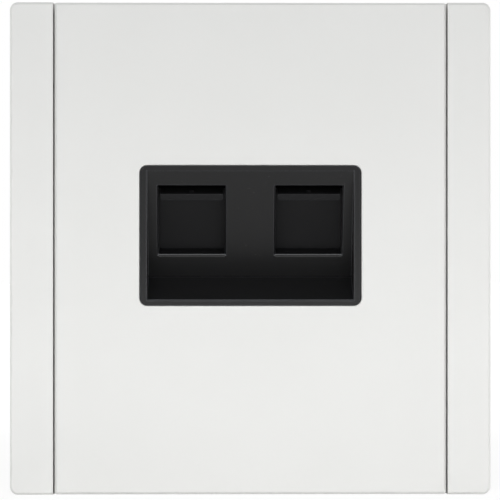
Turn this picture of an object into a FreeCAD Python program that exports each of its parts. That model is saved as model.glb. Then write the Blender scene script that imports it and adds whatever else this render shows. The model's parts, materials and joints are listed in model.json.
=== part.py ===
import FreeCAD, Part
import math
import os
from FreeCAD import Placement, Rotation, Vector

# X to the right seen from the front, Z up, the wall is Y = 0 and the front faces -Y. Millimetres.

# Surround
overall_width = 85.0
overall_height = 87.0
projection = 10.0  # wall to front face
rail_width = 7.6
corner_radius = 1.4
edge_chamfer = 0.4
frame_wall = 1.8
rib_thickness = 1.2
rail_rib_spacing = 22.0
bar_rib_spacing = 30.0
rib_setback = 3.0  # from the wall

# Centre cover
cover_depth = 2.6
cover_face = 2.0
cover_gap = 0.3  # beside each rail
cover_inset = 0.06  # below the rails' ends
cover_skirt = 1.5
cover_corner = 0.45
window_z = 2.3
window_height = 24.9
window_corner = 1.4
window_gap = 0.08
window_chamfer = 0.1

# Insert with the slanted recess
insert_inset = 0.2
insert_chamfer = 0.1
bezel_side = 1.3
bezel_end = 0.95
bezel_chamfer = 0.15  # round the recess
wall = 1.2
face_wall = 2.6  # of the slanted face, round the ports
tilt = 25.0
flange_thickness = 2.0
flange_seat = 4.5  # flange width on the mounting plate
flange_corner = 6.0

# Ports
aperture_width = 11.9
aperture_height = 13.3
aperture_drop = 9.62  # from the slanted face's upper edge to the port's centre
aperture_chamfer = 0.25
sill_radius = 0.55  # on the port's lower edge
recess_margin = 1.9  # beside the ports
port_gap = 6.25  # between the jacks

# Shutters
shutter_thickness = 1.2
shutter_overlap = 0.65
slide_gap = 0.15
lip_height = 1.15
lip_drop = 1.6  # below the port's upper edge
lip_sink = 0.15  # behind the slanted face
lip_inset = 0.4  # inside the port's sides
lip_corner = 0.4
panel_lap = 1.2  # panel below the port
detent_width = 0.7  # on the lip's upper side
detent_length = 0.6
detent_height = 0.2
foot_height = 1.0

# Shutter springs
spring_radius = 1.4
spring_wire = 0.4
spring_turns = 5
spring_solid_gap = 1.8  # left between all turns when the shutter is fully down
spring_sides = 8  # flats in each turn
peg_length = 1.4
peg_width = 1.4

# Guide behind the shutters
guide_thickness = 1.4
rib_width = 1.0
chamber_wall = 1.0
chamber_gap = 0.45
plug_margin = 0.8  # guide opening above the plug cavity

# Jacks
jack_depth = 16.2
jack_wall = 1.35  # beside the port's width
cavity_drop = 2.0  # below the port's upper edge
cavity_depth = 12.5
cavity_height = 6.9
jack_roof = 1.9
jack_floor = 1.4
latch_depth = 2.3
latch_width = 6.6
latch_mouth = 4.2
latch_ledge = 1.9

# Contacts
contact_count = 8
contact_pitch = 1.02
contact_width = 0.35
contact_thickness = 0.3
contact_bend = 0.55
contact_slope = 20.0
contact_reach = 6.8
contact_setback = 3.6  # from the jack's mouth to the bend
contact_gap = 0.025
comb_tongue = 0.8

# Board and wire terminals
board_thickness = 1.6
board_margin = 0.5
post_radius = 2.05
block_depth = 8.1
block_base = 2.6
block_end_post = 0.6
row_width = 3.6
slots_per_row = 4
slot_pitch = 3.2
slot_width = 0.9
slot_funnel = 0.5
blade_thickness = 0.5
blade_width = 2.5
blade_slit = 0.35
blade_tail = 0.8
blade_cover = 1.5  # block above the blades

# Mounting plate
plate_thickness = 1.2
plate_clearance = 1.6  # round the insert
fixing_spacing = 60.0
plate_border = 5.5  # outside the fixing centres
plate_corner_cut = 9.0
plate_opening_corner = 6.0
fixing_slot_width = 4.2
fixing_slot_length = 8.0
fixing_head = 4.0  # radius of the box screws' heads
tap_collar = 0.65
tap_depth = 1.0

# Fasteners, snap legs and clearances
screw_radius = 1.25
screw_head = 2.1
screw_head_height = 1.5
screw_clearance = 0.2
screw_row = 26.0
screw_tip = 0.6
board_screw_radius = 1.0
board_screw_head = 1.8
board_screw_head_height = 1.3
board_screw_length = 7.0
leg_width = 6.0
leg_thickness = 1.4
leg_spacing = 24.0
leg_gap = 0.2
leg_slot_gap = 0.4
hook = 0.9
hook_length = 1.8
frame_clearance = 1.0
fit_gap = 0.1  # between pieces that only just clear each other

# Layout from front to back
front = -projection
bed = front + cover_depth
insert_front = front + insert_inset
plate_front = -plate_thickness
flange_front = plate_front - flange_thickness

# Insert and recess: in side view the recess is a right triangle on the front plane
jack_width = aperture_width + 2 * jack_wall
port_pitch = jack_width + port_gap
port_x = port_pitch / 2
recess_width = port_pitch + aperture_width + 2 * recess_margin
insert_width = recess_width + 2 * bezel_side
window_width = insert_width + 2 * window_gap
insert_height = window_height - 2 * window_gap
recess_height = insert_height - 2 * bezel_end
recess_top = window_z + recess_height / 2
slope_sin = math.sin(math.radians(tilt))
slope_cos = math.cos(math.radians(tilt))
slant_length = recess_height * slope_cos
floor_length = recess_height * slope_sin
crease = aperture_drop - slant_length

# Slope frame: its origin is the port centre on the slanted face, Y runs inward, Z up the slope
slope_y = insert_front + aperture_drop * slope_sin
slope_z = recess_top - aperture_drop * slope_cos
port_top = aperture_height / 2

shutter_front = face_wall + slide_gap
shutter_back = shutter_front + shutter_thickness
shutter_width = aperture_width + 2 * shutter_overlap
lip_top = port_top - lip_drop
lip_bottom = lip_top - lip_height
lip_width = aperture_width - 2 * lip_inset
panel_bottom = -port_top - panel_lap
travel = lip_bottom + port_top - 2 * slide_gap

guide_front = shutter_back + slide_gap
guide_back = guide_front + guide_thickness
guide_top = (recess_top - fit_gap - slope_z - guide_back * slope_sin) / slope_cos
spring_outer = spring_radius + spring_wire / 2
spring_y = shutter_front + spring_outer
spring_solid = (spring_turns + 1) * spring_wire
spring_seat = panel_bottom - travel - spring_solid - spring_solid_gap
foot_back = spring_y + spring_outer
chamber_half = spring_outer + chamber_gap
chamber_back = foot_back + slide_gap + chamber_wall
guide_bottom = spring_seat - chamber_wall
guide_stop = panel_bottom + foot_height + slide_gap
tray_bottom = guide_bottom - fit_gap

jack_front = guide_back
board_front = jack_front + jack_depth
board_back = board_front + board_thickness
cavity_width = aperture_width - fit_gap
cavity_top = port_top - cavity_drop
cavity_bottom = cavity_top - cavity_height
latch_bottom = cavity_bottom - latch_depth
jack_top = cavity_top + jack_roof
jack_bottom = latch_bottom - jack_floor
plug_top = cavity_top + plug_margin
plug_bottom = lip_top - travel + fit_gap

contact_run = cavity_top + contact_thickness
contact_bend_y = jack_front + contact_setback
tongue_bottom = contact_run + contact_thickness / 2 + contact_gap
tongue_top = tongue_bottom + comb_tongue
comb_half = contact_count * contact_pitch / 2
comb_back = jack_front + cavity_depth
block_height = slots_per_row * slot_pitch + 2 * block_end_post
block_end = board_back + block_depth
blade_top = block_end - blade_cover
post_places = (jack_top - jack_wall - post_radius, cavity_bottom)

plate_size = fixing_spacing + 2 * plate_border
plate_opening = insert_width + 2 * plate_clearance
flange_size = plate_opening + 2 * flange_seat
frame_opening = flange_size + 2 * frame_clearance
collar_corner = flange_corner + frame_wall * (2 - math.sqrt(2))
bed_half = overall_width / 2 - rail_width
screw_x = (plate_opening + flange_seat) / 2
leg_outer = plate_opening / 2 - leg_gap


def box(x0, x1, y0, y1, z0, z1):
    return Part.makeBox(x1 - x0, y1 - y0, z1 - z0, Vector(x0, y0, z0))


def rod(radius, y0, y1, x, z):
    return Part.makeCylinder(radius, y1 - y0, Vector(x, y0, z), Vector(0, 1, 0))


def edges_along_y(shape):
    def runs_along_y(edge):
        b = edge.BoundBox
        return b.YLength > 1e-6 and b.XLength < 1e-6 and b.ZLength < 1e-6
    return [e for e in shape.Edges if runs_along_y(e)]


def edges_on_y(shape, y):
    return [e for e in shape.Edges if abs(e.BoundBox.YMin - y) + abs(e.BoundBox.YMax - y) < 1e-5]


def panel(width, height, radius, y0, y1, z=0.0):
    block = box(-width / 2, width / 2, y0, y1, z - height / 2, z + height / 2)
    return block.makeFillet(radius, edges_along_y(block))


def polygon_face(points):
    return Part.Face(Part.makePolygon(points + points[:1]))


def cut_panel(size, corner, y0, y1):
    half = size / 2
    short = half - corner
    outline = [(short, half), (half, short), (half, -short), (short, -half)]
    outline += [(-x, -z) for x, z in outline]
    sheet = polygon_face([Vector(x, y0, z) for x, z in outline])
    return sheet.extrude(Vector(0, y1 - y0, 0))


def prism_x(points, x0, x1):
    return polygon_face([Vector(x0, y, z) for y, z in points]).extrude(Vector(x1 - x0, 0, 0))


def slot(x, z, along_x, y0, y1):
    radius = fixing_slot_width / 2
    half = fixing_slot_length / 2 - radius
    dx = half if along_x else 0.0
    dz = 0.0 if along_x else half
    ends = rod(radius, y0, y1, x - dx, z - dz).fuse(rod(radius, y0, y1, x + dx, z + dz))
    wide = half if along_x else radius
    tall = radius if along_x else half
    return ends.fuse(box(x - wide, x + wide, y0, y1, z - tall, z + tall)).removeSplitter()


def on_slope(shape, x=0.0):
    placed = shape.copy()
    frame = Placement(Vector(x, slope_y, slope_z), Rotation(Vector(1, 0, 0), tilt))
    placed.Placement = frame.multiply(shape.Placement)
    return placed


def save(name, shape):
    shape.removeSplitter().exportStep("parts/" + name + ".step")


def make_frame():
    inner_x = overall_width / 2 - frame_wall
    inner_z = overall_height / 2 - frame_wall
    shell = panel(overall_width, overall_height, corner_radius, front, 0)
    shell = shell.makeChamfer(edge_chamfer, edges_on_y(shell, front))
    shell = shell.cut(box(-bed_half, bed_half, front, bed, -overall_height, overall_height))
    shell = shell.cut(box(-inner_x, inner_x, bed + frame_wall, 0, -inner_z, inner_z))
    hollow = box(bed_half + frame_wall, inner_x, front + frame_wall, 0, -inner_z, inner_z)
    shell = shell.cut([hollow, hollow.mirror(Vector(0, 0, 0), Vector(1, 0, 0))])

    half = rib_thickness / 2
    ribs = []
    for side in (-1, 0, 1):
        z = side * rail_rib_spacing
        rib = box(bed_half, inner_x, front + frame_wall, -rib_setback, z - half, z + half)
        ribs += [rib, rib.mirror(Vector(0, 0, 0), Vector(1, 0, 0))]
    for side in (-1, 1):
        x = side * bar_rib_spacing / 2
        rib = box(x - half, x + half, bed + frame_wall, -rib_setback, frame_opening / 2, inner_z)
        ribs += [rib, rib.mirror(Vector(0, 0, 0), Vector(0, 0, 1))]

    opening = cut_panel(frame_opening, flange_corner, bed, plate_front)
    collar = cut_panel(frame_opening + 2 * frame_wall, collar_corner, bed, plate_front).cut(opening)
    reach = fixing_head + frame_clearance
    collar = collar.cut([
        box(-overall_width, overall_width, bed + frame_wall, 0, -reach, reach),
        box(-reach, reach, bed + frame_wall, 0, -overall_height, overall_height),
    ])
    return shell.fuse(ribs).cut(opening).fuse(collar)


def snap_leg():
    root = front + cover_face
    catch = fit_gap
    tip = catch + hook_length
    inner = leg_outer - leg_thickness
    side = [
        (root, inner),
        (tip, inner),
        (tip, leg_outer - hook / 2),
        (catch + hook / 2, leg_outer + hook),
        (catch, leg_outer + hook),
        (catch, leg_outer),
        (root, leg_outer),
    ]
    return prism_x(side, -leg_width / 2, leg_width / 2)


def make_cover():
    width = 2 * (bed_half - cover_gap)
    height = overall_height - 2 * cover_inset
    back = front + cover_face
    cover = panel(width, height, cover_corner, front, bed)
    cover = cover.makeChamfer(edge_chamfer, edges_on_y(cover, front))
    cover = cover.cut(box(
        cover_skirt - width / 2, width / 2 - cover_skirt, back, bed,
        cover_skirt - height / 2, height / 2 - cover_skirt,
    ))
    edge_x = window_width / 2 + wall
    edge_z = window_height / 2 + wall
    cover = cover.fuse(box(-edge_x, edge_x, back, bed, window_z - edge_z, window_z + edge_z))
    cover = cover.cut(panel(window_width, window_height, window_corner, front, bed, window_z))
    rim = [e for e in edges_on_y(cover, front) if abs(e.CenterOfMass.x) < edge_x]
    window_edges = [e for e in rim if abs(e.CenterOfMass.z - window_z) < edge_z]
    cover = cover.makeChamfer(window_chamfer, window_edges)
    for side in (-1, 1):
        leg = snap_leg().translated(Vector(side * leg_spacing / 2, 0, 0))
        cover = cover.fuse([leg, leg.mirror(Vector(0, 0, 0), Vector(0, 0, 1))])
    return cover


def screw_places():
    return [(side * screw_x, -side * screw_row / 2) for side in (-1, 1)]


def make_mounting_plate():
    plate = cut_panel(plate_size, plate_corner_cut, plate_front, 0)
    plate = plate.cut(cut_panel(plate_opening, plate_opening_corner, plate_front, 0))
    for side in (-1, 1):
        centre = side * fixing_spacing / 2
        plate = plate.cut([slot(centre, 0, True, plate_front, 0), slot(0, centre, False, plate_front, 0)])
    plate = plate.fuse([rod(screw_radius + tap_collar, 0, tap_depth, x, z) for x, z in screw_places()])
    return plate.cut([rod(screw_radius, plate_front, tap_depth, x, z) for x, z in screw_places()])


def funnel(width, height, chamfer):
    def outline(margin, y):
        x = width / 2 + margin
        z = height / 2 + margin
        points = [Vector(-x, y, -z), Vector(x, y, -z), Vector(x, y, z), Vector(-x, y, z)]
        return Part.makePolygon(points + points[:1])
    return Part.makeLoft([outline(chamfer, 0), outline(0, chamfer)], True)


def make_housing():
    half = recess_width / 2
    corner = window_corner - window_gap
    outer = panel(insert_width, insert_height, corner, insert_front, plate_front, window_z)
    inner = box(-half, half, insert_front, plate_front, recess_top - recess_height, recess_top)
    flange = cut_panel(flange_size, flange_corner, flange_front, plate_front)
    tube = outer.makeChamfer(insert_chamfer, edges_on_y(outer, insert_front))
    mouth = funnel(recess_width, recess_height, bezel_chamfer).translated(Vector(0, insert_front, window_z))

    face_top = aperture_drop + insert_height
    room = box(-half, half, insert_front, overall_height, -overall_height, window_z + insert_height / 2)
    slant = on_slope(box(-half, half, 0, face_wall, tray_bottom, face_top)).common(room)
    ledge = on_slope(box(-half, half, -floor_length - wall, wall, crease - wall, crease)).common(outer)
    edge = half + bezel_side
    tray = [
        on_slope(box(-edge, -half, 0, guide_back, tray_bottom, guide_top)),
        on_slope(box(half, edge, 0, guide_back, tray_bottom, guide_top)),
        on_slope(box(-edge, edge, 0, guide_back, tray_bottom - wall, tray_bottom)),
    ]
    posts = [on_slope(rod(post_radius, face_wall / 2, board_front, 0, z)) for z in post_places]
    shell = tube.fuse([flange]).cut(inner).fuse(ledge).cut(mouth)
    body = shell.fuse([slant] + tray + posts)

    pilot = board_front + board_thickness - board_screw_length
    cuts = [on_slope(rod(board_screw_radius, pilot, board_front, 0, z)) for z in post_places]
    throat = box(-aperture_width / 2, aperture_width / 2, 0, face_wall, -port_top, port_top)
    roll_z = -port_top - sill_radius
    sill = box(-aperture_width / 2, aperture_width / 2, 0, sill_radius, roll_z, -port_top)
    roll = Vector(-aperture_width / 2, sill_radius, roll_z)
    sill = sill.cut(Part.makeCylinder(sill_radius, aperture_width, roll, Vector(1, 0, 0)))
    port = throat.fuse([funnel(aperture_width, aperture_height, aperture_chamfer), sill])
    span = jack_width / 2 + fit_gap
    seat = box(-span, span, jack_front, board_front, jack_bottom - fit_gap, jack_top + fit_gap)
    reach = leg_width / 2 + leg_slot_gap
    low = leg_outer - leg_thickness - leg_slot_gap
    high = leg_outer + hook + leg_slot_gap
    for side in (-1, 1):
        cuts += [on_slope(port, side * port_x), on_slope(seat, side * port_x)]
        x = side * leg_spacing / 2
        leg_slot = box(x - reach, x + reach, flange_front, plate_front, low, high)
        cuts += [leg_slot, leg_slot.mirror(Vector(0, 0, 0), Vector(0, 0, 1))]
    hole = screw_radius + screw_clearance
    cuts += [rod(hole, flange_front, plate_front, x, z) for x, z in screw_places()]
    return body.cut(cuts)


def make_guide():
    half = recess_width / 2 - fit_gap
    adds = []
    room = post_radius + fit_gap
    cuts = [box(-room, room, guide_front, guide_back, post_places[1] - room, post_places[0] + room)]
    edge = shutter_width / 2 + slide_gap
    span = chamber_half + chamber_wall
    inner_back = chamber_back - chamber_wall
    plug = cavity_width / 2 + fit_gap
    for side in (-1, 1):
        x = side * port_x
        rib = box(edge, edge + rib_width, face_wall, guide_front, guide_bottom, guide_top)
        for side_rib in (rib, rib.mirror(Vector(0, 0, 0), Vector(1, 0, 0))):
            adds.append(side_rib.translated(Vector(x, 0, 0)))
        adds.append(box(x - span, x + span, guide_back, chamber_back, guide_bottom, guide_stop))
        adds.append(box(x - span, x + span, face_wall, guide_front, guide_bottom, spring_seat))
        cuts.append(box(x - chamber_half, x + chamber_half, guide_front, inner_back, spring_seat, guide_stop))
        cuts.append(box(x - plug, x + plug, guide_front, guide_back, plug_bottom, plug_top))
    plate = box(-half, half, guide_front, guide_back, guide_bottom, guide_top)
    return on_slope(plate.fuse(adds).cut(cuts))


def make_shutter(x):
    half = shutter_width / 2
    sheet = box(-half, half, shutter_front, shutter_back, panel_bottom, lip_top)
    lip = box(-lip_width / 2, lip_width / 2, lip_sink, shutter_back, lip_bottom, lip_top)
    lower = [e for e in edges_along_y(lip) if e.CenterOfMass.z < lip_top - lip_corner]
    lip = lip.makeFillet(lip_corner, lower)
    middle = (lip_sink + shutter_front) / 2
    bump = [
        (middle - detent_length / 2, lip_top),
        (middle, lip_top + detent_height),
        (middle + detent_length / 2, lip_top),
    ]
    detent = prism_x(bump, -detent_width / 2, detent_width / 2)
    foot_half = chamber_half - slide_gap
    foot = box(-foot_half, foot_half, shutter_front, foot_back, panel_bottom, panel_bottom + foot_height)
    peg = box(
        -peg_width / 2, peg_width / 2, spring_y - peg_width / 2, spring_y + peg_width / 2,
        panel_bottom - peg_length, panel_bottom,
    )
    return on_slope(sheet.fuse([lip, foot, peg, detent]), x)


def make_spring(x):
    rise = panel_bottom - spring_seat - spring_wire
    half = spring_wire / 2
    near = spring_radius - half
    far = spring_radius + half
    section = [Vector(near, 0, -half), Vector(far, 0, -half), Vector(far, 0, half), Vector(near, 0, half)]
    steps = spring_turns * spring_sides
    sections = []
    for i in range(steps + 1):
        place = Placement(Vector(0, 0, rise * i / steps), Rotation(Vector(0, 0, 1), 360.0 * i / spring_sides))
        points = [place.multVec(corner) for corner in section]
        sections.append(Part.makePolygon(points + points[:1]))
    coil = Part.makeLoft(sections, True, True)
    coil.translate(Vector(0, spring_y, spring_seat + half))
    return on_slope(coil, x)


def make_jack(x):
    half = jack_width / 2
    body = box(-half, half, jack_front, board_front, jack_bottom, jack_top)
    ledge = jack_front + latch_ledge
    reach = comb_half + fit_gap
    groove_front = contact_bend_y - contact_bend - contact_thickness
    cuts = [
        box(-cavity_width / 2, cavity_width / 2, jack_front, comb_back, cavity_bottom, cavity_top),
        box(-latch_mouth / 2, latch_mouth / 2, jack_front, ledge, latch_bottom, cavity_bottom),
        box(-latch_width / 2, latch_width / 2, ledge, comb_back, latch_bottom, cavity_bottom),
        box(-reach, reach, groove_front, comb_back, cavity_top, tongue_top),
        box(-reach, reach, comb_back, board_front, cavity_bottom, tongue_top),
    ]
    return on_slope(body.cut(cuts), x)


def contact_places():
    return [(i - (contact_count - 1) / 2) * contact_pitch for i in range(contact_count)]


def make_comb(x):
    low = contact_run - contact_thickness / 2 - contact_gap
    block = box(-comb_half, comb_half, comb_back, board_front, cavity_bottom + fit_gap, low)
    tongue = box(-comb_half, comb_half, contact_bend_y, board_front, tongue_bottom, tongue_top)
    tooth = (contact_pitch - contact_width) / 2 - fit_gap
    root = contact_bend_y + contact_bend
    teeth = []
    for i in range(contact_count + 1):
        middle = -comb_half + i * contact_pitch
        left = max(middle - tooth, -comb_half)
        right = min(middle + tooth, comb_half)
        teeth.append(box(left, right, root, board_front, cavity_top, tongue_bottom))
    return on_slope(block.fuse([tongue] + teeth), x)


def make_contacts(x):
    half = contact_thickness / 2
    fall = math.radians(contact_slope)
    nose = contact_bend_y - contact_bend
    top = contact_run + half
    low = top - 2 * contact_bend
    tail = board_back - fit_gap
    reach_y = contact_reach * math.cos(fall)
    reach_z = contact_reach * math.sin(fall)
    side = [
        (tail, top),
        (contact_bend_y, top),
        (nose, (top + low) / 2),
        (contact_bend_y, low),
        (contact_bend_y + reach_y, low - reach_z),
        (contact_bend_y + reach_y, low - reach_z + contact_thickness),
        (contact_bend_y, low + contact_thickness),
        (nose + contact_thickness, (top + low) / 2),
        (contact_bend_y, top - contact_thickness),
        (tail, top - contact_thickness),
    ]
    strip = prism_x(side, -contact_width / 2, contact_width / 2)
    row = [strip.translated(Vector(p, 0, 0)) for p in contact_places()]
    return on_slope(Part.makeCompound(row), x)


def make_board():
    half = port_x + jack_width / 2 + board_margin
    tall = block_height / 2 + board_margin
    board = box(-half, half, board_front, board_back, -tall, tall)
    cuts = [rod(board_screw_radius + fit_gap, board_front, board_back, 0, z) for z in post_places]
    span = contact_width / 2 + fit_gap
    low = contact_run - contact_thickness / 2 - fit_gap
    high = contact_run + contact_thickness / 2 + fit_gap
    for side in (-1, 1):
        for p in contact_places():
            x = side * port_x + p
            cuts.append(box(x - span, x + span, board_front, board_back, low, high))
    return on_slope(board.cut(cuts))


def slot_places():
    return [(i - (slots_per_row - 1) / 2) * slot_pitch for i in range(slots_per_row)]


def row_places():
    return [side * (jack_width - row_width) / 2 for side in (-1, 1)]


def make_block(x):
    half = jack_width / 2
    tall = block_height / 2
    base_end = board_back + block_base
    block = box(-half, half, board_back, base_end, -tall, tall)
    row = box(-row_width / 2, row_width / 2, board_back, block_end, -tall, tall)
    rows = [row.translated(Vector(r, 0, 0)) for r in row_places()]
    bottom = base_end + slot_width
    funnel = block_end - 2 * slot_funnel
    gap = slot_width / 2
    wide = gap + slot_funnel
    groove = blade_thickness / 2 + contact_gap
    fork = blade_width / 2 + contact_gap
    stem = blade_tail / 2 + contact_gap
    cuts = []
    for z in slot_places():
        side = [(bottom, z - gap), (funnel, z - gap), (block_end, z - wide)]
        side += [(block_end, z + wide), (funnel, z + gap), (bottom, z + gap)]
        cuts.append(prism_x(side, -half, half))
        for r in row_places():
            cuts.append(box(r - groove, r + groove, base_end, blade_top + fit_gap, z - fork, z + fork))
            cuts.append(box(r - groove, r + groove, board_back, base_end, z - stem, z + stem))
    return on_slope(block.fuse(rows).cut(cuts), x)


def make_blades(x):
    fork = blade_width / 2
    stem = blade_tail / 2
    slit = blade_slit / 2
    seat = board_back + block_base
    root = seat + fork
    mouth = blade_top - slot_funnel
    right = [(board_back, stem), (seat, stem), (seat, fork), (blade_top, fork), (mouth, slit), (root, slit)]
    left = [(y, -z) for y, z in reversed(right)]
    blades = []
    for r in row_places():
        blade = prism_x(right + left, r - blade_thickness / 2, r + blade_thickness / 2)
        blades += [blade.translated(Vector(0, 0, z)) for z in slot_places()]
    return on_slope(Part.makeCompound(blades), x)


def screw(radius, head, height, length):
    drive = box(-head, head, -height, -height / 2, -radius / 4, radius / 4)
    return rod(head, -height, 0, 0, 0).cut(drive).fuse(rod(radius, 0, length, 0, 0))


def make_housing_screws():
    length = flange_thickness + plate_thickness + tap_depth + screw_tip
    one = screw(screw_radius, screw_head, screw_head_height, length)
    return Part.makeCompound([one.translated(Vector(x, flange_front, z)) for x, z in screw_places()])


def make_board_screws():
    one = screw(board_screw_radius, board_screw_head, board_screw_head_height, board_screw_length)
    one.rotate(Vector(0, 0, 0), Vector(1, 0, 0), 180)
    return on_slope(Part.makeCompound([one.translated(Vector(0, board_back, z)) for z in post_places]))


os.makedirs("parts", exist_ok=True)
save("frame", make_frame())
save("cover_plate", make_cover())
save("mounting_plate", make_mounting_plate())
save("socket_housing", make_housing())
save("housing_screws", make_housing_screws())
save("shutter_guide", make_guide())
save("circuit_board", make_board())
save("board_screws", make_board_screws())
for side_name, port in (("left", -port_x), ("right", port_x)):
    save("shutter_" + side_name, make_shutter(port))
    save("shutter_spring_" + side_name, make_spring(port))
    save("jack_" + side_name, make_jack(port))
    save("contact_comb_" + side_name, make_comb(port))
    save("contacts_" + side_name, make_contacts(port))
    save("terminal_block_" + side_name, make_block(port))
    save("idc_blades_" + side_name, make_blades(port))
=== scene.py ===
import json
import math

import bpy
from mathutils import Matrix, Vector


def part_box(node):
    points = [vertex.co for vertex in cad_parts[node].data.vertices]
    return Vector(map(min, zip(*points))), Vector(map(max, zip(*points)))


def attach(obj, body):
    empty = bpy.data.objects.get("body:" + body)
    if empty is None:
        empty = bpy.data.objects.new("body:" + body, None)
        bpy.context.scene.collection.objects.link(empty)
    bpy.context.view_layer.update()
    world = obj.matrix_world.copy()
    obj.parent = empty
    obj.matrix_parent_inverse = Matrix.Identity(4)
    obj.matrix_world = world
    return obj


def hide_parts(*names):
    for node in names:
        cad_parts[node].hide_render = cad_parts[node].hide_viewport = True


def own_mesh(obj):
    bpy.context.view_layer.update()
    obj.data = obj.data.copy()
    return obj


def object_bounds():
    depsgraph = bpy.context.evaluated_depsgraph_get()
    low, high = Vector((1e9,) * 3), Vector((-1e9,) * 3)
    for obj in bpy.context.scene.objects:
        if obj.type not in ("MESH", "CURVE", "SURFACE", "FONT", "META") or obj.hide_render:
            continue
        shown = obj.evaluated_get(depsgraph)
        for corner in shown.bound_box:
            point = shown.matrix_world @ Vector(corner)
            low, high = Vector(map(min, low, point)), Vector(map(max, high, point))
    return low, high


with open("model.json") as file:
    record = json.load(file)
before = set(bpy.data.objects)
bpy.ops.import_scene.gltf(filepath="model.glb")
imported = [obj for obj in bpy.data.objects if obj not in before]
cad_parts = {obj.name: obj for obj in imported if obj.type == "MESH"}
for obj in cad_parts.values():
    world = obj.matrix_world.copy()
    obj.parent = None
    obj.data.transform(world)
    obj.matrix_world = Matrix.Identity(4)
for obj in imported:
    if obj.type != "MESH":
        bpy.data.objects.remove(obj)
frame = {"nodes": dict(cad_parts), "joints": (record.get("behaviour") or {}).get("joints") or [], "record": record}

cadLow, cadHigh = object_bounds()
nodes = frame["nodes"]
mounts = {m["name"]: m for m in frame["record"]["mounts"]}
joints = {j["name"]: j for j in frame["joints"]}
sides = ("left", "right")
print("frame loaded:", len(nodes), "nodes")

# slope frame of the ports: y runs inward, z up the slanted face
slideAxis = Vector(joints["shutter_left_slide"]["axis"])
slopeTilt = math.atan2(slideAxis.y, -slideAxis.z)
slopeTurn = Matrix.Rotation(slopeTilt, 3, "X")
portCentre = {side: Vector(mounts["port_" + side]["pos_m"]) for side in sides}
slopeMiddle = (portCentre["left"] + portCentre["right"]) / 2


def slopeBox(name, origin):  # a node's corners in the slope frame
    points = [slopeTurn.transposed() @ (v.co - origin) for v in nodes[name].data.vertices]
    low = Vector([min(p[i] for p in points) for i in range(3)])
    high = Vector([max(p[i] for p in points) for i in range(3)])
    return low, high


class Wire:  # a shader socket that can stand in a sum
    def __init__(self, graph, socket):
        self.graph = graph
        self.socket = socket

    def join(self, operation, other=0.0, swapped=False):
        ends = (other, self) if swapped else (self, other)
        sockets = {0: ends[0], 1: ends[1], 2: 0.0}  # the third is the lower end of a wrap
        return self.graph.node("ShaderNodeMath", {"operation": operation}, sockets)

    def __add__(self, other):
        return self.join("ADD", other)

    def __radd__(self, other):
        return self.join("ADD", other, True)

    def __sub__(self, other):
        return self.join("SUBTRACT", other)

    def __rsub__(self, other):
        return self.join("SUBTRACT", other, True)

    def __mul__(self, other):
        return self.join("MULTIPLY", other)

    def __rmul__(self, other):
        return self.join("MULTIPLY", other, True)

    def __truediv__(self, other):
        return self.join("DIVIDE", other)

    def __rtruediv__(self, other):
        return self.join("DIVIDE", other, True)

    def __abs__(self):
        return self.join("ABSOLUTE")


class Graph:  # one material's nodes
    edgeSamples = 6

    def __init__(self, tree):
        self.tree = tree
        tree.nodes.clear()

    def node(self, kind, settings=None, sockets=None, out=0):
        made = self.tree.nodes.new(kind)
        for key, value in (settings or {}).items():
            if key == "stops":  # a colour ramp's (place, colour) pairs
                while len(made.color_ramp.elements) < len(value):
                    made.color_ramp.elements.new(1.0)
                for element, (place, colour) in zip(made.color_ramp.elements, value):
                    element.position = place
                    element.color = colour
            elif key == "between":
                made.color_ramp.interpolation = value
            else:
                setattr(made, key, value)
        for key, value in (sockets or {}).items():
            if isinstance(value, Wire):
                self.tree.links.new(value.socket, made.inputs[key])
            else:
                made.inputs[key].default_value = value
        return Wire(self, made.outputs[out]) if made.outputs else None

    def place(self, centre=(0, 0, 0), turn=0.0, stretch=(1, 1, 1)):  # object coordinates, moved and turned
        raw = self.node("ShaderNodeTexCoord", out="Object")
        return self.node("ShaderNodeMapping", {"vector_type": "TEXTURE"}, {
            "Vector": raw, "Location": centre, "Rotation": (turn, 0, 0), "Scale": stretch})

    def axis(self, vector, name):
        return self.node("ShaderNodeSeparateXYZ", {}, {0: vector}, name)

    def noise(self, vector, scale, detail=2.0):
        return self.node("ShaderNodeTexNoise", {}, {"Vector": vector, "Scale": scale, "Detail": detail})

    def fade(self, value, start, end, first=1.0, last=0.0):  # smooth step from first to last
        return self.node("ShaderNodeMapRange", {"interpolation_type": "SMOOTHSTEP"}, {
            "Value": value, "From Min": start, "From Max": end, "To Min": first, "To Max": last})

    def mix(self, share, first, second):  # two colours
        return self.node("ShaderNodeMix", {"data_type": "RGBA"}, {0: share, 6: first, 7: second}, 2)

    def rounded(self, edge):  # normals that turn softly over the edges
        return self.node("ShaderNodeBevel", {"samples": self.edgeSamples}, {"Radius": edge})

    def relief(self, height, depth, edge):  # bump over softly rounded edges
        return self.node("ShaderNodeBump", {}, {
            "Height": height, "Distance": depth, "Normal": self.rounded(edge)})

    def rim(self, edge, start, end):  # 1 along the edges, 0 on the flats: the mask of the painted edge highlight
        flat = self.node("ShaderNodeNewGeometry", out="True Normal")
        facing = self.node("ShaderNodeVectorMath", {"operation": "DOT_PRODUCT"}, {
            0: self.rounded(edge), 1: flat}, "Value")
        return self.fade(facing, start, end, 0.0, 1.0)

    def close(self, sockets):
        surface = self.node("ShaderNodeBsdfPrincipled", {}, sockets)
        self.node("ShaderNodeOutputMaterial", {}, {"Surface": surface})


def newFinish(name):
    material = bpy.data.materials.new(name)
    material.use_nodes = True
    return material, Graph(material.node_tree)


def grey(value):
    return (value, value, value, 1)


satinWhite = {
    "colour": (0.808, 0.803, 0.781, 1), "shade": (0.780, 0.775, 0.752, 1),
    "mottle": 55, "grain": 5200, "grainDetail": 3, "grainDepth": 0.000006,
    "roughness": 0.40, "roughSpread": 0.10, "edge": 0.00010,
}


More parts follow.
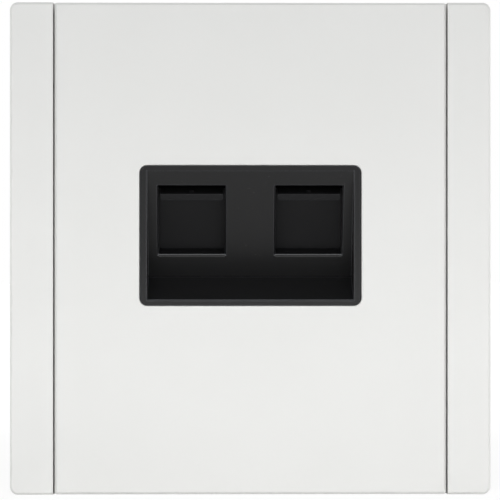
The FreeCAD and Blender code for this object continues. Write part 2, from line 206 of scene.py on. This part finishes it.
def satinWhiteFinish(look):
    material, graph = newFinish("satinWhite")
    here = graph.place()
    mottle = graph.noise(here, look["mottle"])
    grain = graph.noise(here, look["grain"], look["grainDetail"])
    graph.close({
        "Base Color": graph.mix(mottle, look["shade"], look["colour"]),
        "Roughness": look["roughness"] + look["roughSpread"] * (grain - 0.5),
        "Normal": graph.relief(grain, look["grainDepth"], look["edge"]),
    })
    return material


satinBlack = {
    "colour": (0.0048, 0.0048, 0.0051, 1), "bloom": (0.0064, 0.0064, 0.0069, 1),
    "mottle": 160, "grain": 4200, "grainDetail": 3, "grainDepth": 0.000008,
    "roughness": 0.38, "roughSpread": 0.12, "specular": 0.29, "edge": 0.00009,
    "dust": (0.05, 0.05, 0.052, 1), "dustScale": 2300, "dustDetail": 1,
    "dustFrom": 0.76, "dustTo": 0.80, "dustShare": 0.35,
    "rim": (0.058, 0.060, 0.065, 1), "rimEdge": 0.00022, "rimFrom": 0.998, "rimTo": 0.92,  # painted highlight: a lighter colour along the edges stands in for the light they catch
    "sillPolish": 0.14, "sillHeight": -0.006925, "sillReach": 0.00030,  # the ports' sills are rubbed smooth
    "sillHalf": 0.0060, "sillSoft": 0.0001,
}
# the shutters' lighter edge colour is a fainter painted highlight
shutterBlack = dict(
    satinBlack, sillPolish=0.0, colour=(0.0140, 0.0140, 0.0147, 1), bloom=(0.0160, 0.0160, 0.0168, 1),
    roughness=0.50, specular=0.09, grain=5000, edge=0.00020, rim=(0.030, 0.031, 0.033, 1))
jackBlack = dict(satinBlack, sillPolish=0.0, roughness=0.40, edge=0.00012)
combGrey = dict(
    satinBlack, sillPolish=0.0, colour=(0.035, 0.035, 0.04, 1), bloom=(0.045, 0.045, 0.05, 1), edge=0.00006)


def satinBlackFinish(name, look):
    material, graph = newFinish(name)
    here = graph.place()
    mottle = graph.noise(here, look["mottle"])
    grain = graph.noise(here, look["grain"], look["grainDetail"])
    speck = graph.noise(here, look["dustScale"], look["dustDetail"])
    dust = graph.fade(speck, look["dustFrom"], look["dustTo"], 0.0, look["dustShare"])
    # painted highlight: the edges get a lighter colour
    rim = graph.rim(look["rimEdge"], look["rimFrom"], look["rimTo"])
    plain = graph.mix(rim, graph.mix(mottle, look["colour"], look["bloom"]), look["rim"])
    sloped = graph.place(slopeMiddle, slopeTilt)
    fromPort = abs(abs(graph.axis(sloped, "X")) - abs(portCentre["right"].x))  # from a port's middle
    fromSill = abs(graph.axis(sloped, "Z") - look["sillHeight"])
    along = graph.fade(fromPort, look["sillHalf"], look["sillHalf"] + look["sillSoft"])
    onSill = along * graph.fade(fromSill, look["sillReach"], look["sillReach"] + look["sillSoft"])
    graph.close({
        "Base Color": graph.mix(dust, plain, look["dust"]),
        "Roughness": look["roughness"] + look["roughSpread"] * (grain - 0.5) - look["sillPolish"] * onSill,
        "Specular IOR Level": look["specular"],
        "Normal": graph.relief(grain, look["grainDepth"], look["edge"]),
    })
    return material


zincSheet = {
    "bright": (0.70, 0.71, 0.71, 1), "dull": (0.50, 0.51, 0.52, 1),
    "spangle": 320, "spangleShare": 0.3,
    "lines": (0.02, 1, 1), "lineScale": 2600, "lineDepth": 0.000004, "lineShare": 0.5,
    "stain": (0.62, 0.58, 0.46, 1), "stainScale": 140, "stainDetail": 3,
    "stainFrom": 0.55, "stainTo": 0.80, "stainShare": 0.35,
    "roughness": 0.33, "roughSpread": 0.12, "stainRough": 0.10, "edge": 0.00012,
}
screwZinc = dict(
    zincSheet, bright=(0.74, 0.74, 0.72, 1), dull=(0.56, 0.56, 0.55, 1), spangle=900, roughness=0.28)
springWire = dict(
    zincSheet, bright=(0.60, 0.60, 0.61, 1), dull=(0.42, 0.42, 0.43, 1), spangle=1500, roughness=0.25)
tinnedBronze = dict(
    zincSheet, bright=(0.78, 0.76, 0.70, 1), dull=(0.62, 0.59, 0.50, 1), spangle=1200, edge=0.00005)
goldStrip = dict(
    zincSheet, bright=(0.86, 0.66, 0.27, 1), dull=(0.76, 0.55, 0.20, 1), stain=(0.70, 0.42, 0.16, 1),
    spangle=1200, roughness=0.20, edge=0.00004)


def metalFinish(name, look):
    material, graph = newFinish(name)
    here = graph.place()
    cells = graph.node("ShaderNodeTexVoronoi", {}, {"Vector": here, "Scale": look["spangle"]}, "Color")
    spangle = graph.axis(cells, "X")
    lines = graph.noise(graph.place(stretch=look["lines"]), look["lineScale"])
    blot = graph.noise(here, look["stainScale"], look["stainDetail"])
    stain = graph.fade(blot, look["stainFrom"], look["stainTo"], 0.0, look["stainShare"])
    shine = look["spangleShare"] * spangle + look["lineShare"] * lines
    plain = graph.mix(shine, look["dull"], look["bright"])
    graph.close({
        "Base Color": graph.mix(stain, plain, look["stain"]),
        "Metallic": 1.0,
        "Roughness": look["roughness"] + look["roughSpread"] * (spangle - 0.5) + look["stainRough"] * stain,
        "Normal": graph.relief(lines, look["lineDepth"], look["edge"]),
    })
    return material


boardMask = {
    "mask": (0.012, 0.085, 0.035, 1), "track": (0.030, 0.165, 0.070, 1), "pad": (0.62, 0.52, 0.28, 1),
    "trackPitch": 0.0013, "trackWidth": 0.00042, "trackDepth": 0.00002,
    "wander": 0.0016, "wanderScale": 260, "wanderDetail": 0,
    "viaPitch": 0.0026, "viaRadius": 0.00028, "soft": 0.00006,
    "roughness": 0.30, "trackRough": 0.08, "coat": 0.3, "coatRoughness": 0.2, "edge": 0.00005,
}


def boardFinish(look):
    material, graph = newFinish("boardMask")
    here = graph.place(slopeMiddle, slopeTilt)
    across, up = graph.axis(here, "X"), graph.axis(here, "Z")
    wander = graph.noise(here, look["wanderScale"], look["wanderDetail"]) - 0.5
    steps = (up + look["wander"] * wander).join("PINGPONG", look["trackPitch"] / 2)
    tracks = graph.fade(steps, look["trackWidth"] / 2, look["trackWidth"] / 2 + look["soft"])
    dotX = abs(across.join("WRAP", look["viaPitch"]) - look["viaPitch"] / 2)
    dotZ = abs(up.join("WRAP", look["viaPitch"]) - look["viaPitch"] / 2)
    away = (dotX * dotX + dotZ * dotZ).join("SQRT")
    vias = graph.fade(away, look["viaRadius"], look["viaRadius"] + look["soft"])
    plain = graph.mix(tracks, look["mask"], look["track"])
    graph.close({
        "Base Color": graph.mix(vias, plain, look["pad"]),
        "Metallic": vias,
        "Roughness": look["roughness"] + look["trackRough"] * tracks,
        "Normal": graph.relief(tracks + vias, look["trackDepth"], look["edge"]),
        "Coat Weight": look["coat"],
        "Coat Roughness": look["coatRoughness"],
    })
    return material


ivoryBlock = {
    "colour": (0.78, 0.765, 0.70, 1), "shade": (0.72, 0.70, 0.63, 1),
    "mottle": 220, "grain": 5000, "grainDetail": 3, "grainDepth": 0.000008,
    "roughness": 0.45, "roughSpread": 0.10, "edge": 0.00012,
    "slotPitch": 0.0032, "markFrom": 0.0015, "markTo": 0.0034, "markHalf": 0.0010, "markShare": 0.9,
    "floorHeight": 0.0030, "soft": 0.00008,
    "pairs": ((0.80, 0.25, 0.03, 1), (0.05, 0.32, 0.08, 1), (0.03, 0.12, 0.55, 1), (0.20, 0.09, 0.04, 1)),
}


def ivoryBlockFinish(look):
    material, graph = newFinish("ivoryBlock")
    here = graph.place(slopeMiddle, slopeTilt)
    mottle = graph.noise(here, look["mottle"])
    grain = graph.noise(here, look["grain"], look["grainDetail"])
    plain = graph.mix(mottle, look["shade"], look["colour"])
    inPort = abs(abs(graph.axis(here, "X")) - abs(portCentre["right"].x))  # from the block's middle
    up, deep = graph.axis(here, "Z"), graph.axis(here, "Y")
    inRow = abs((up / look["slotPitch"]).join("WRAP", 1.0) - 0.5) * look["slotPitch"]  # from a slot's middle
    markMiddle = (look["markFrom"] + look["markTo"]) / 2
    markReach = (look["markTo"] - look["markFrom"]) / 2
    floorDepth = slopeBox("circuit_board", slopeMiddle)[1].y + look["floorHeight"]
    band = graph.fade(abs(inPort - markMiddle), markReach, markReach + look["soft"])
    patch = graph.fade(inRow, look["markHalf"], look["markHalf"] + look["soft"])
    onFloor = graph.fade(deep, floorDepth, floorDepth + look["soft"])
    count = len(look["pairs"])
    pairs = graph.node("ShaderNodeValToRGB", {
        "stops": [(i / count, colour) for i, colour in enumerate(look["pairs"])], "between": "CONSTANT",
    }, {"Fac": up / (look["slotPitch"] * count) + 0.5})
    graph.close({
        "Base Color": graph.mix(band * patch * onFloor * look["markShare"], plain, pairs),
        "Roughness": look["roughness"] + look["roughSpread"] * (grain - 0.5),
        "Normal": graph.relief(grain, look["grainDepth"], look["edge"]),
    })
    return material


finishes = {
    "white_plastic": satinWhiteFinish(satinWhite),
    "black_plastic": satinBlackFinish("satinBlack", satinBlack),
    "shutter_black": satinBlackFinish("shutterBlack", shutterBlack),
    "jack_black": satinBlackFinish("jackBlack", jackBlack),
    "comb_plastic": satinBlackFinish("combGrey", combGrey),
    "terminal_plastic": ivoryBlockFinish(ivoryBlock),
    "board_green": boardFinish(boardMask),
    "zinc_steel": metalFinish("zincSheet", zincSheet),
    "screw_steel": metalFinish("screwZinc", screwZinc),
    "spring_steel": metalFinish("springWire", springWire),
    "contact_gold": metalFinish("goldStrip", goldStrip),
    "blade_metal": metalFinish("tinnedBronze", tinnedBronze),
}
for part in frame["record"]["subparts"]:
    nodes[part["node"]].data.materials.clear()
    nodes[part["node"]].data.materials.append(finishes[part["material_slot"]])
print("finishes on the nodes:", len(finishes))


def ready():  # nothing selected, object mode
    if bpy.context.object and bpy.context.object.mode != "OBJECT":
        bpy.ops.object.mode_set(mode="OBJECT")
    bpy.ops.object.select_all(action="DESELECT")


def pick(piece):  # the only one selected
    ready()
    piece.select_set(True)
    bpy.context.view_layer.objects.active = piece


def fixPlace(piece):  # a piece's place and size go into its mesh
    pick(piece)
    bpy.ops.object.transform_apply(location=True, rotation=True, scale=True)


def settle(piece, matrix):
    piece.matrix_world = matrix
    fixPlace(piece)


def joinPieces(pieces):
    ready()
    for piece in pieces:
        piece.select_set(True)
    bpy.context.view_layer.objects.active = pieces[0]
    bpy.ops.object.join()
    return pieces[0]


def twin(piece):  # a copy with its own mesh
    other = piece.copy()
    other.data = piece.data.copy()
    bpy.context.scene.collection.objects.link(other)
    return other


def applyModifier(piece, kind, settings):
    pick(piece)
    modifier = piece.modifiers.new(kind.lower(), kind)
    for key, value in settings.items():
        setattr(modifier, key, value)
    bpy.ops.object.modifier_apply(modifier=modifier.name)


def closeMesh(piece, angle):  # ends filled, faces outwards, smooth up to an angle
    pick(piece)
    bpy.ops.object.mode_set(mode="EDIT")
    bpy.ops.mesh.select_all(action="SELECT")
    bpy.ops.mesh.fill_holes(sides=0)
    bpy.ops.mesh.select_all(action="SELECT")
    bpy.ops.mesh.normals_make_consistent(inside=False)
    bpy.ops.object.mode_set(mode="OBJECT")
    bpy.ops.object.shade_smooth_by_angle(angle=angle)


def dress(piece, name, node, slotName):  # a piece that stands for a node of the base
    piece.name = name
    piece.data.name = name
    piece.data.materials.clear()
    piece.data.materials.append(finishes[slotName])
    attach(piece, "base")
    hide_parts(node)


coilSpring = {"wire": 0.00040, "wireSides": 10, "turns": 5, "turnSteps": 28, "smooth": math.radians(60)}


def makeSpring(low, high, look):  # along Z, between the two ends of the CAD spring
    wire = look["wire"] / 2
    mean = (high.x - low.x) / 2 - wire
    ends = (low.z + wire, high.z - wire)
    ready()
    bpy.ops.mesh.primitive_circle_add(
        vertices=look["wireSides"], radius=wire, location=(mean, 0, ends[0]), rotation=(math.pi / 2, 0, 0))
    coil = bpy.context.object
    fixPlace(coil)
    applyModifier(coil, "SCREW", {
        "angle": 2 * math.pi, "iterations": look["turns"],
        "screw_offset": (ends[1] - ends[0]) / look["turns"],
        "steps": look["turnSteps"], "render_steps": look["turnSteps"]})
    pieces = [coil]
    for height in ends:  # the closed end turns
        ready()
        bpy.ops.mesh.primitive_torus_add(
            location=(0, 0, height), major_radius=mean, minor_radius=wire,
            major_segments=look["turnSteps"], minor_segments=look["wireSides"])
        pieces.append(bpy.context.object)
        fixPlace(pieces[-1])
    coil = joinPieces(pieces)
    closeMesh(coil, look["smooth"])
    return coil


springLow, springHigh = slopeBox("shutter_spring_left", portCentre["left"])
springShape = makeSpring(springLow, springHigh, coilSpring)
for side in sides:
    spring = springShape if side == sides[-1] else twin(springShape)
    middle = Vector((0, (springLow.y + springHigh.y) / 2, 0))
    settle(spring, Matrix.Translation(portCentre[side] + slopeTurn @ middle) @ slopeTurn.to_4x4())
    dress(spring, "coilSpring_" + side, "shutter_spring_" + side, "spring_steel")
    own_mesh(spring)
print("springs wound")


contactStrip = {
    "count": 8, "pitch": 0.00102, "width": 0.00035, "thickness": 0.00030, "reach": 0.0068,
    "bend": 0.00055, "bendSteps": 14, "fall": math.radians(20), "smooth": math.radians(40),
}


def makeContacts(low, high, look):  # a row of bent strips in the slope frame
    run = high.z - look["thickness"] / 2
    bendY = low.y + look["bend"]
    turn = look["bend"] - look["thickness"] / 2
    ready()
    bpy.ops.mesh.primitive_plane_add(
        size=1, location=(low.x + look["width"] / 2, high.y, run), rotation=(math.pi / 2, 0, 0))
    strip = bpy.context.object
    strip.scale = (look["width"], look["thickness"], 1)
    fixPlace(strip)
    bpy.ops.object.mode_set(mode="EDIT")
    bpy.ops.mesh.select_all(action="SELECT")
    bpy.ops.mesh.extrude_region_move(TRANSFORM_OT_translate={"value": (0, bendY - high.y, 0)})
    bpy.ops.mesh.spin(
        steps=look["bendSteps"], angle=look["fall"] - math.pi, center=(0, bendY, run - turn), axis=(1, 0, 0))
    arm = Vector((0, math.cos(look["fall"]), -math.sin(look["fall"]))) * look["reach"]
    bpy.ops.mesh.extrude_region_move(TRANSFORM_OT_translate={"value": arm})
    applyModifier(strip, "ARRAY", {
        "count": look["count"], "use_relative_offset": False, "use_constant_offset": True,
        "constant_offset_displace": (look["pitch"], 0, 0)})
    closeMesh(strip, look["smooth"])
    return strip


contactLow, contactHigh = slopeBox("contacts_left", portCentre["left"])
contactShape = makeContacts(contactLow, contactHigh, contactStrip)
for side in sides:
    contacts = contactShape if side == sides[-1] else twin(contactShape)
    settle(contacts, Matrix.Translation(portCentre[side]) @ slopeTurn.to_4x4())
    dress(contacts, "contactStrips_" + side, "contacts_" + side, "contact_gold")
print("contacts bent")


flangeScrew = {
    "head": 0.00210, "headHeight": 0.00150, "headEdge": 0.00035, "headSteps": 4, "sides": 48,
    "shank": 0.00125, "core": 0.00100, "tip": 0.00030, "tipTaper": 0.45,
    "pitch": 0.00045, "ridge": 0.8, "threadSteps": 32,  # ridge against shank less core
    "slotWidth": 0.00062, "slotDepth": 0.00075, "slotTurns": (0.0, 0.7), "smooth": math.radians(35),
}
postScrew = dict(
    flangeScrew, head=0.00180, headHeight=0.00130, headEdge=0.00045, shank=0.00100, core=0.00074, tip=0.00080,
    pitch=0.00070, slotWidth=0.00050, slotDepth=0.00065, slotTurns=(0.4, 2.1))


def pickFaces(piece, direction, straight=0.9):  # those that face one way
    pick(piece)
    bpy.ops.object.mode_set(mode="EDIT")
    bpy.ops.mesh.select_mode(type="FACE")
    bpy.ops.mesh.select_all(action="DESELECT")
    bpy.ops.object.mode_set(mode="OBJECT")
    for face in piece.data.polygons:
        face.select = face.normal.dot(direction) > straight
    bpy.ops.object.mode_set(mode="EDIT")


def makeScrew(look, length):  # along Z, head upwards, seated at the origin
    upward = Vector((0, 0, 1))
    ready()
    bpy.ops.mesh.primitive_cylinder_add(
        vertices=look["sides"], radius=look["head"], depth=look["headHeight"],
        location=upward * look["headHeight"] / 2)
    body = bpy.context.object
    fixPlace(body)
    pickFaces(body, upward)
    bpy.ops.mesh.region_to_loop()
    bpy.ops.mesh.bevel(offset=look["headEdge"], segments=look["headSteps"], affect="EDGES")
    pickFaces(body, -upward)
    bpy.ops.mesh.inset(thickness=look["head"] - look["core"])
    bpy.ops.mesh.extrude_region_move(TRANSFORM_OT_translate={"value": (0, 0, look["tip"] - length)})
    bpy.ops.mesh.extrude_region_move(TRANSFORM_OT_translate={"value": (0, 0, -look["tip"])})
    bpy.ops.transform.resize(value=(look["tipTaper"], look["tipTaper"], 1))
    ready()
    bpy.ops.mesh.primitive_cube_add(size=1, location=(0, 0, look["headHeight"]))
    cutter = bpy.context.object
    cutter.scale = (3 * look["head"], look["slotWidth"], 2 * look["slotDepth"])
    applyModifier(body, "BOOLEAN", {"operation": "DIFFERENCE", "solver": "EXACT", "object": cutter})
    bpy.data.objects.remove(cutter)

    ridge = (look["shank"] - look["core"]) * look["ridge"]
    ready()
    bpy.ops.mesh.primitive_circle_add(
        vertices=3, radius=ridge, location=(look["shank"] - ridge, 0, look["tip"] - length),
        rotation=(math.pi / 2, math.pi / 2, 0))
    thread = bpy.context.object
    fixPlace(thread)
    turns = int((length - 2 * look["tip"]) / look["pitch"])
    applyModifier(thread, "SCREW", {
        "angle": 2 * math.pi, "iterations": turns, "screw_offset": look["pitch"],
        "steps": look["threadSteps"], "render_steps": look["threadSteps"]})
    closeMesh(thread, look["smooth"])
    closeMesh(body, look["smooth"])
    return joinPieces([body, thread])


def setScrews(look, length, seats, facing, name, node):  # one screw on each seat, as one piece
    shape = makeScrew(look, length)
    pieces = [shape] + [twin(shape) for seat in seats[1:]]
    for piece, seat, turn in zip(pieces, seats, look["slotTurns"]):
        settle(piece, Matrix.Translation(seat) @ facing @ Matrix.Rotation(turn, 4, "Z"))
    dress(joinPieces(pieces), name, node, "screw_steel")


screwLow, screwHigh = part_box("housing_screws")
seatY = screwLow.y + flangeScrew["headHeight"]
inset = Vector((flangeScrew["head"], 0, -flangeScrew["head"]))
setScrews(
    flangeScrew, screwHigh.y - seatY,
    [Vector((screwLow.x, seatY, screwHigh.z)) + inset, Vector((screwHigh.x, seatY, screwLow.z)) - inset],
    Matrix.Rotation(math.pi / 2, 4, "X"), "flangeScrews", "housing_screws")

postLow, postHigh = slopeBox("board_screws", slopeMiddle)
seatDepth = postHigh.y - postScrew["headHeight"]
postHeights = (postHigh.z - postScrew["head"], postLow.z + postScrew["head"])
setScrews(
    postScrew, seatDepth - postLow.y,
    [slopeMiddle + slopeTurn @ Vector((0, seatDepth, height)) for height in postHeights],
    slopeTurn.to_4x4() @ Matrix.Rotation(-math.pi / 2, 4, "X"), "postScrews", "board_screws")
print("screws made")


plainWhite = (1.0, 1.0, 1.0)
studio = {
    "floorSize": 6.0, "floorTone": 0.86, "glow": 1.04, "ambient": 0.25,
    "shadeCentre": (0, 0.06, 0), "shadeFrom": 0.07, "shadeTo": 0.17,  # where the floor shows the shadow
    "shadeWhite": 0.86, "farWhite": 0.98,
    "lamps": {
        "keyBox": {"place": (0.0, -0.73, 0.86), "size": (0.5, 0.5), "power": 4.35, "tint": (0.94, 0.97, 1.0)},
        "leftBox": {"place": (-0.80, -0.24, 0.10), "size": (0.45, 0.30), "power": 1.0, "tint": plainWhite},
        "rightBox": {"place": (0.80, -0.24, 0.10), "size": (0.45, 0.30), "power": 1.2, "tint": plainWhite},
        "lowCard": {"place": (0.0, -0.11, -0.04), "size": (0.4, 0.04), "power": 0.14, "tint": plainWhite},
        "backBox": {"place": (0.30, 0.80, 0.55), "size": (0.6, 0.6), "power": 3.0, "tint": plainWhite},
    },
}


def seenWhite(graph):  # 1 for the rays that should meet a white background
    camera, glossy, through = [graph.node("ShaderNodeLightPath", out=name) for name in (
        "Is Camera Ray", "Is Glossy Ray", "Is Transmission Ray")]
    return (camera + glossy + through).join("MINIMUM", 1.0)


def makeFloor(look):
    ready()
    bpy.ops.mesh.primitive_plane_add(size=look["floorSize"], location=(0, 0, cadLow.z))
    floor = bpy.context.object
    floor.name = "studioFloor"
    material, graph = newFinish("studioFloor")
    matt = graph.node("ShaderNodeBsdfDiffuse", {}, {"Color": grey(look["floorTone"])})
    glow = graph.node("ShaderNodeEmission", {}, {"Color": grey(1.0), "Strength": look["glow"]})
    here = graph.place(look["shadeCentre"])
    away = graph.node("ShaderNodeVectorMath", {"operation": "LENGTH"}, {0: here}, "Value")
    white = graph.fade(away, look["shadeFrom"], look["shadeTo"], look["shadeWhite"], look["farWhite"])
    surface = graph.node("ShaderNodeMixShader", {}, {0: white * seenWhite(graph), 1: matt, 2: glow})
    graph.node("ShaderNodeOutputMaterial", {}, {"Surface": surface})
    floor.data.materials.append(material)


def makeWorld(look):
    world = bpy.data.worlds.new("studioWorld")
    world.use_nodes = True
    bpy.context.scene.world = world
    graph = Graph(world.node_tree)
    dim = graph.node("ShaderNodeBackground", {}, {"Color": grey(1.0), "Strength": look["ambient"]})
    white = graph.node("ShaderNodeBackground", {}, {"Color": grey(1.0), "Strength": 1.0})
    surface = graph.node("ShaderNodeMixShader", {}, {0: seenWhite(graph), 1: dim, 2: white})
    graph.node("ShaderNodeOutputWorld", {}, {"Surface": surface})


def hangLamp(name, look):  # aimed at the origin, out of the camera's sight
    lamp = bpy.data.lights.new(name, "AREA")
    lamp.shape = "RECTANGLE"
    lamp.size, lamp.size_y = look["size"]
    lamp.energy = look["power"]
    lamp.color = look["tint"]
    holder = bpy.data.objects.new(name, lamp)
    bpy.context.scene.collection.objects.link(holder)
    holder.location = look["place"]
    holder.rotation_euler = (-Vector(look["place"])).to_track_quat("-Z", "Y").to_euler()
    holder.visible_camera = False


makeFloor(studio)
makeWorld(studio)
for name, lampLook in studio["lamps"].items():
    hangLamp(name, lampLook)
bpy.context.scene.view_settings.view_transform = "Standard"
print("studio ready")


shot = {
    "pictureWidth": 0.08836,  # across the picture at the front plane
    "distance": 0.48, "sensor": 36.0, "clip": (0.01, 20.0),
    "standX": -0.0065, "aimX": -0.00009, "aimZ": -0.00026,
}


def setCamera(look):
    lens = bpy.data.cameras.new("shot")
    lens.sensor_width = look["sensor"]
    lens.lens = look["sensor"] * look["distance"] / look["pictureWidth"]
    lens.clip_start, lens.clip_end = look["clip"]
    camera = bpy.data.objects.new("shot", lens)
    bpy.context.scene.collection.objects.link(camera)
    aim = Vector((look["aimX"], cadLow.y, look["aimZ"]))
    camera.location = Vector((look["standX"], cadLow.y - look["distance"], look["aimZ"]))
    camera.rotation_euler = (aim - camera.location).to_track_quat("-Z", "Y").to_euler()
    bpy.context.scene.camera = camera
    print("camera set")


setCamera(shot)
